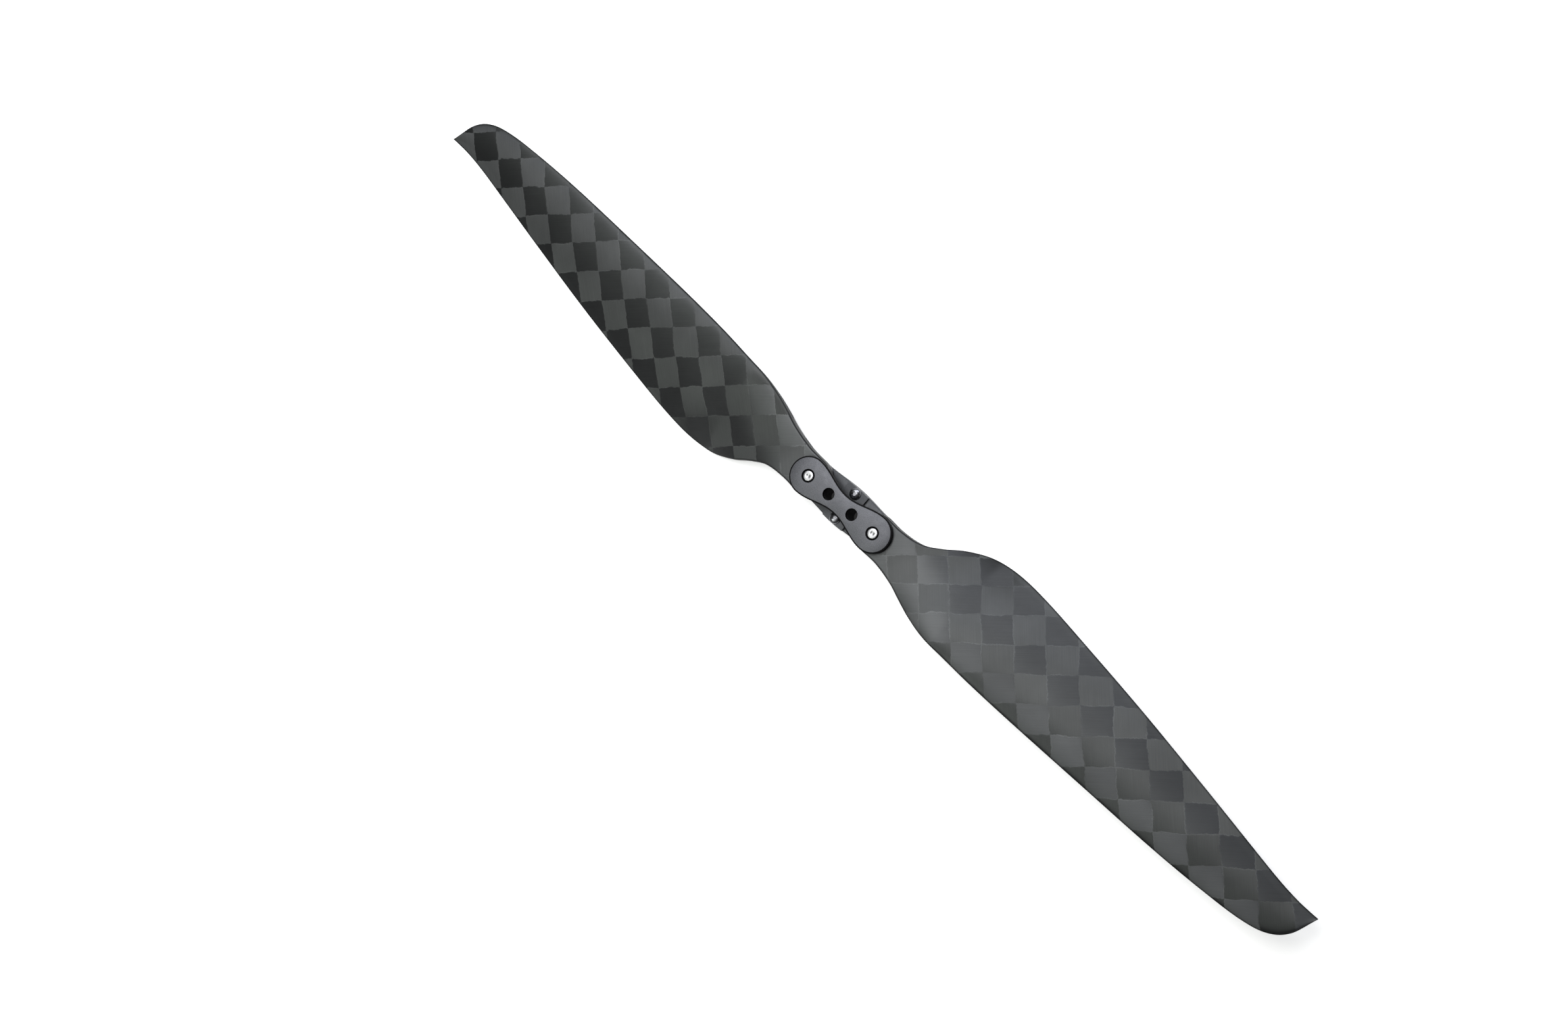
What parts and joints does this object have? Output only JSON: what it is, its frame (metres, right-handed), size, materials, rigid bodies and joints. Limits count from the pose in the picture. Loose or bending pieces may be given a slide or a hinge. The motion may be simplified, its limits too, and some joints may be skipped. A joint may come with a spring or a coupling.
{
  "type": "folding propeller",
  "caption": "Folding propeller with carbon blades that pivot between the plates of a slim metal hub and stow side by side.",
  "frame": {"origin": "middle of the hub, on the lower face that sits on the motor, on the spin axis", "axes": "+Z is the thrust direction along the spin axis, away from the motor; +X runs from the hub's middle through the fold pivot of blade B; the leading edge of blade B faces -Y"},
  "size_m": [0.4479, 0.045, 0.017],
  "materials": {
    "grey_plate": "satin, bead blasted and anodised grey",
    "dark_plate": "satin, anodised dark grey",
    "steel_screws": "satin bright steel",
    "hard_steel": "ground",
    "washer_plastic": "satin",
    "carbon_skin": "satin clear coat over spread tow carbon",
    "solid_carbon": "satin",
    "foam": "matt closed cell foam",
    "bronze": "satin"
  },
  "bodies": {
    "hub": {"base_plate": "dark_plate", "top_plate": "grey_plate", "centre_spacer": "dark_plate", "spacer_screw_left": "steel_screws", "spacer_screw_right": "steel_screws", "pivot_bolt_a": "steel_screws", "pivot_bolt_b": "steel_screws", "pivot_sleeve_a": "hard_steel", "pivot_sleeve_b": "hard_steel", "lower_washer_a": "washer_plastic", "lower_washer_b": "washer_plastic", "upper_washer_a": "washer_plastic", "upper_washer_b": "washer_plastic"},
    "blade_a": {"upper_skin_a": "carbon_skin", "lower_skin_a": "carbon_skin", "foam_core_a": "foam", "root_block_a": "solid_carbon", "root_bush_a": "bronze"},
    "blade_b": {"upper_skin_b": "carbon_skin", "lower_skin_b": "carbon_skin", "foam_core_b": "foam", "root_block_b": "solid_carbon", "root_bush_b": "bronze"}
  },
  "joints": [
    {"name": "fold_a", "type": "hinge", "parent": "hub", "child": "blade_a", "pos_m": [-0.0168, 0, 0.0065], "axis": [0, 0, -1], "range_deg": [-91, 88]},
    {"name": "fold_b", "type": "hinge", "parent": "hub", "child": "blade_b", "pos_m": [0.0168, 0, 0.0065], "axis": [0, 0, 1], "range_deg": [-91, 88]}
  ]
}
